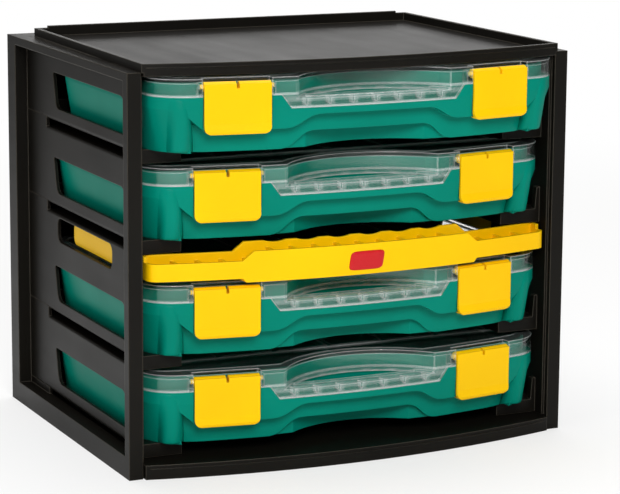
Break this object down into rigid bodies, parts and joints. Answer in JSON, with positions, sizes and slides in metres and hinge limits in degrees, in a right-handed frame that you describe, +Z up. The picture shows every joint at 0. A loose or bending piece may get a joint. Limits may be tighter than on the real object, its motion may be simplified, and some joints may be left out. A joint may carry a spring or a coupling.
{
  "type": "compartment storage rack",
  "caption": "Open-front black rack holding slide-in green compartment cases with clear lids and yellow latches, plus a full-width pull-out carry handle.",
  "frame": {"origin": "on the floor, midway between the side walls and midway between post fronts and back", "axes": "+X to the viewer's right, the open front faces -Y, +Z up"},
  "size_m": [0.336, 0.279, 0.2855],
  "materials": {
    "rack": "satin",
    "green": "satin",
    "lid_clear": "clear, slightly milky",
    "yellow": "satin"
  },
  "bodies": {
    "rack": {"side_wall_left": "rack", "side_wall_right": "rack", "top_panel": "rack", "bottom_panel": "rack", "back_panel": "rack"},
    "handle": {"carry_handle": "yellow"},
    "case_1": {"case_1_base": "green", "case_1_lid": "lid_clear", "case_1_dividers": "green"},
    "case_1_latch_left": {"case_1_latch_left": "yellow"},
    "case_1_latch_right": {"case_1_latch_right": "yellow"},
    "case_2": {"case_2_base": "green", "case_2_lid": "lid_clear", "case_2_dividers": "green"},
    "case_2_latch_left": {"case_2_latch_left": "yellow"},
    "case_2_latch_right": {"case_2_latch_right": "yellow"},
    "case_3": {"case_3_base": "green", "case_3_lid": "lid_clear", "case_3_dividers": "green"},
    "case_3_latch_left": {"case_3_latch_left": "yellow"},
    "case_3_latch_right": {"case_3_latch_right": "yellow"},
    "case_4": {"case_4_base": "green", "case_4_lid": "lid_clear", "case_4_dividers": "green"},
    "case_4_latch_left": {"case_4_latch_left": "yellow"},
    "case_4_latch_right": {"case_4_latch_right": "yellow"}
  },
  "joints": [
    {"name": "handle_slide", "type": "slide", "parent": "rack", "child": "handle", "axis": [0, -1, 0], "range_m": [0, 0.07]},
    {"name": "case_1_slide", "type": "slide", "parent": "rack", "child": "case_1", "axis": [0, -1, 0], "range_m": [-0.017, 0.183]},
    {"name": "case_1_latch_left_swing", "type": "hinge", "parent": "case_1", "child": "case_1_latch_left", "pos_m": [-0.09884, -0.14529, 0.269], "axis": [-0.9879, 0.1552, 0], "range_deg": [0, 90]},
    {"name": "case_1_latch_right_swing", "type": "hinge", "parent": "case_1", "child": "case_1_latch_right", "pos_m": [0.09884, -0.14529, 0.269], "axis": [-0.9879, -0.1552, 0], "range_deg": [0, 90]},
    {"name": "case_2_slide", "type": "slide", "parent": "rack", "child": "case_2", "axis": [0, -1, 0], "range_m": [0, 0.2]},
    {"name": "case_2_latch_left_swing", "type": "hinge", "parent": "case_2", "child": "case_2_latch_left", "pos_m": [-0.09884, -0.12829, 0.207], "axis": [-0.9879, 0.1552, 0], "range_deg": [0, 90]},
    {"name": "case_2_latch_right_swing", "type": "hinge", "parent": "case_2", "child": "case_2_latch_right", "pos_m": [0.09884, -0.12829, 0.207], "axis": [-0.9879, -0.1552, 0], "range_deg": [0, 90]},
    {"name": "case_3_slide", "type": "slide", "parent": "rack", "child": "case_3", "axis": [0, -1, 0], "range_m": [0, 0.2]},
    {"name": "case_3_latch_left_swing", "type": "hinge", "parent": "case_3", "child": "case_3_latch_left", "pos_m": [-0.09884, -0.12829, 0.127], "axis": [-0.9879, 0.1552, 0], "range_deg": [0, 90]},
    {"name": "case_3_latch_right_swing", "type": "hinge", "parent": "case_3", "child": "case_3_latch_right", "pos_m": [0.09884, -0.12829, 0.127], "axis": [-0.9879, -0.1552, 0], "range_deg": [0, 90]},
    {"name": "case_4_slide", "type": "slide", "parent": "rack", "child": "case_4", "axis": [0, -1, 0], "range_m": [0, 0.2]},
    {"name": "case_4_latch_left_swing", "type": "hinge", "parent": "case_4", "child": "case_4_latch_left", "pos_m": [-0.09884, -0.12829, 0.065], "axis": [-0.9879, 0.1552, 0], "range_deg": [0, 90]},
    {"name": "case_4_latch_right_swing", "type": "hinge", "parent": "case_4", "child": "case_4_latch_right", "pos_m": [0.09884, -0.12829, 0.065], "axis": [-0.9879, -0.1552, 0], "range_deg": [0, 90]}
  ]
}
